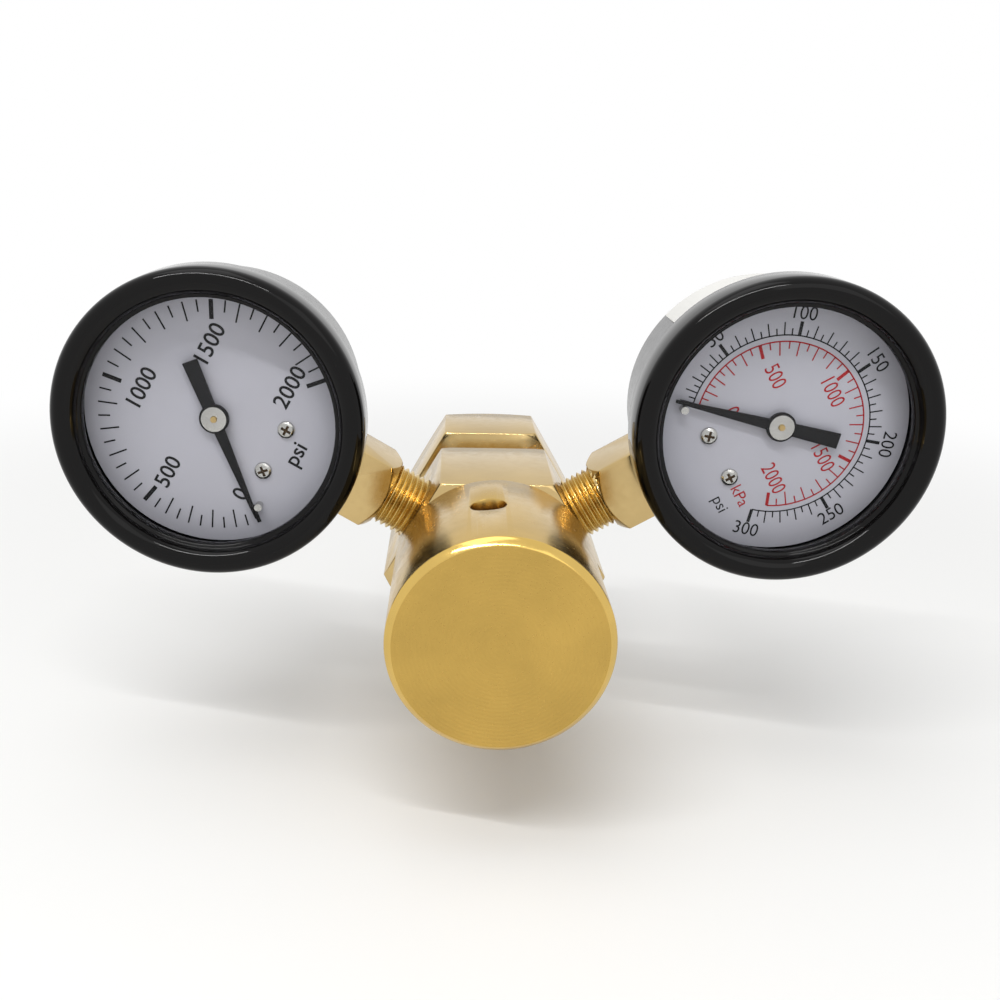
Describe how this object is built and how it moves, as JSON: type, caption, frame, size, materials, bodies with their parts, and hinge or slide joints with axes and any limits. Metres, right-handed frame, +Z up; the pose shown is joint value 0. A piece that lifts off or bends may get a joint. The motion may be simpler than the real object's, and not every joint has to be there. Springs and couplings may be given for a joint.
{
  "type": "carbon dioxide regulator",
  "caption": "Preset gas pressure regulator: hexagonal brass body with closed bonnet, hex inlet nut, hose barb and paired dial gauges on slanted stems.",
  "frame": {"origin": "centre of the sealing washer's outer face, on the inlet axis, where the cylinder valve seats", "axes": "+Y along the inlet axis towards the cylinder valve, +Z up with the gauges above the body, +X to the right as the dials are read"},
  "size_m": [0.131, 0.0782, 0.0805],
  "materials": {
    "brass": "machined",
    "steel": "bright",
    "black_paint": "gloss",
    "rubber": "matt",
    "window": "clear",
    "dial_white": "satin",
    "pointer_black": "satin",
    "bronze": "satin",
    "washer": "matt",
    "label": "satin"
  },
  "bodies": {
    "regulator": {"body": "brass", "bonnet": "brass", "range_spring": "steel", "spring_button": "brass", "slip_ring": "steel", "diaphragm": "rubber", "seat_nozzle": "brass", "nozzle_seal": "rubber", "poppet_spring": "steel", "inlet_filter": "bronze", "inlet_nipple": "brass", "sealing_washer": "washer", "outlet_barb": "brass", "left_socket": "brass", "left_case": "black_paint", "left_bezel": "black_paint", "left_window": "window", "left_gasket": "rubber", "left_dial": "dial_white", "left_dial_screws": "steel", "left_stop_pin": "steel", "left_front_plate": "brass", "left_back_plate": "brass", "left_pillars": "brass", "left_hairspring": "bronze", "left_bourdon_tube": "bronze", "right_socket": "brass", "right_case": "black_paint", "right_bezel": "black_paint", "right_window": "window", "right_gasket": "rubber", "right_dial": "dial_white", "right_dial_screws": "steel", "right_stop_pin": "steel", "right_front_plate": "brass", "right_back_plate": "brass", "right_pillars": "brass", "right_hairspring": "bronze", "right_bourdon_tube": "bronze", "right_label": "label"},
    "diaphragm_plate": {"diaphragm_plate": "brass"},
    "poppet": {"poppet": "brass", "poppet_seal": "rubber"},
    "inlet_nut": {"inlet_nut": "brass"},
    "left_pointer": {"left_pointer": "pointer_black", "left_pointer_hub": "steel", "left_pinion": "brass"},
    "left_sector": {"left_sector": "brass"},
    "left_tube_tip": {"left_tube_tip": "brass"},
    "left_link": {"left_link": "steel"},
    "right_pointer": {"right_pointer": "pointer_black", "right_pointer_hub": "steel", "right_pinion": "brass"},
    "right_sector": {"right_sector": "brass"},
    "right_tube_tip": {"right_tube_tip": "brass"},
    "right_link": {"right_link": "steel"}
  },
  "joints": [
    {"name": "diaphragm_travel", "type": "slide", "parent": "regulator", "child": "diaphragm_plate", "axis": [0, -1, 0], "range_m": [0, 0.0008], "deforming": ["range_spring", "diaphragm"]},
    {"name": "poppet_travel", "type": "slide", "parent": "regulator", "child": "poppet", "axis": [0, -1, 0], "range_m": [0, 0.0008], "deforming": ["poppet_spring"]},
    {"name": "nut_turn", "type": "hinge", "parent": "regulator", "child": "inlet_nut", "pos_m": [0, 0, 0], "axis": [0, 1, 0], "continuous": true},
    {"name": "left_pointer_turn", "type": "hinge", "parent": "regulator", "child": "left_pointer", "pos_m": [-0.04261, -0.0306, 0.0246], "axis": [0, 1, 0], "range_deg": [0, 272], "deforming": ["left_hairspring"]},
    {"name": "left_sector_turn", "type": "hinge", "parent": "regulator", "child": "left_sector", "pos_m": [-0.03062, -0.0306, 0.02418], "axis": [0, 1, 0], "range_deg": [-38.87, 0]},
    {"name": "left_tip_travel", "type": "hinge", "parent": "regulator", "child": "left_tube_tip", "pos_m": [-0.04261, -0.0306, 0.0246], "axis": [0, 1, 0], "range_deg": [-9.41, 0], "deforming": ["left_bourdon_tube"]},
    {"name": "left_link_turn", "type": "hinge", "parent": "left_tube_tip", "child": "left_link", "pos_m": [-0.03538, -0.0306, 0.03532], "axis": [0, 1, 0], "range_deg": [0, 9.41]},
    {"name": "right_pointer_turn", "type": "hinge", "parent": "regulator", "child": "right_pointer", "pos_m": [0.04261, -0.0306, 0.0246], "axis": [0, 1, 0], "range_deg": [0, 270], "deforming": ["right_hairspring"]},
    {"name": "right_sector_turn", "type": "hinge", "parent": "regulator", "child": "right_sector", "pos_m": [0.03625, -0.0306, 0.01442], "axis": [0, 1, 0], "range_deg": [-38.58, 0]},
    {"name": "right_tip_travel", "type": "hinge", "parent": "regulator", "child": "right_tube_tip", "pos_m": [0.04261, -0.0306, 0.0246], "axis": [0, 1, 0], "range_deg": [-9.34, 0], "deforming": ["right_bourdon_tube"]},
    {"name": "right_link_turn", "type": "hinge", "parent": "right_tube_tip", "child": "right_link", "pos_m": [0.04828, -0.0306, 0.01298], "axis": [0, 1, 0], "range_deg": [0, 9.34]}
  ],
  "couplings": [
    {"joint": "poppet_travel", "follows": "diaphragm_travel", "ratio": 1},
    {"joint": "left_sector_turn", "follows": "left_pointer_turn", "ratio": -0.14286},
    {"joint": "left_tip_travel", "follows": "left_pointer_turn", "ratio": -0.034559},
    {"joint": "left_link_turn", "follows": "left_pointer_turn", "ratio": 0.034559},
    {"joint": "right_sector_turn", "follows": "right_pointer_turn", "ratio": -0.14286},
    {"joint": "right_tip_travel", "follows": "right_pointer_turn", "ratio": -0.034559},
    {"joint": "right_link_turn", "follows": "right_pointer_turn", "ratio": 0.034559}
  ]
}
